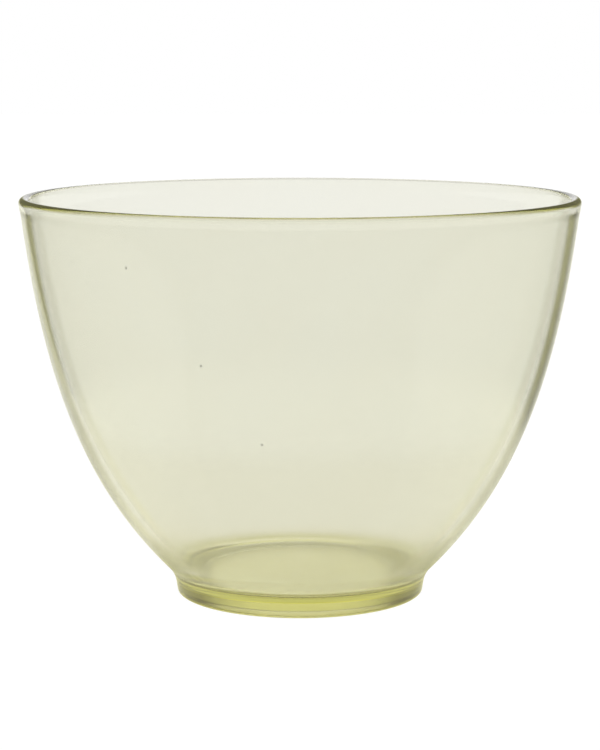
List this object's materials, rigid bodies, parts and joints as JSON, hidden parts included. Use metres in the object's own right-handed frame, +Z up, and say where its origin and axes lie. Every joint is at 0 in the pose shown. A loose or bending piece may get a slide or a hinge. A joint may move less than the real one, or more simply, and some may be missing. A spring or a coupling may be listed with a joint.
{
  "type": "mixing bowl",
  "caption": "Open round mixing bowl in soft see-through rubber: rounded rim, curved wall that thickens downward into a solid floor, and a short foot hollowed underneath.",
  "frame": {"origin": "middle of the foot, on the surface the bowl stands on", "axes": "+Z up along the bowl's axis of symmetry; X and Y are any two level directions, because the bowl is round"},
  "size_m": [0.13, 0.13, 0.0935],
  "materials": {
    "bowl": "clear soft moulding with a pale yellow-green tint, glossy"
  },
  "bodies": {
    "root": {"bowl": "bowl"}
  },
  "joints": []
}
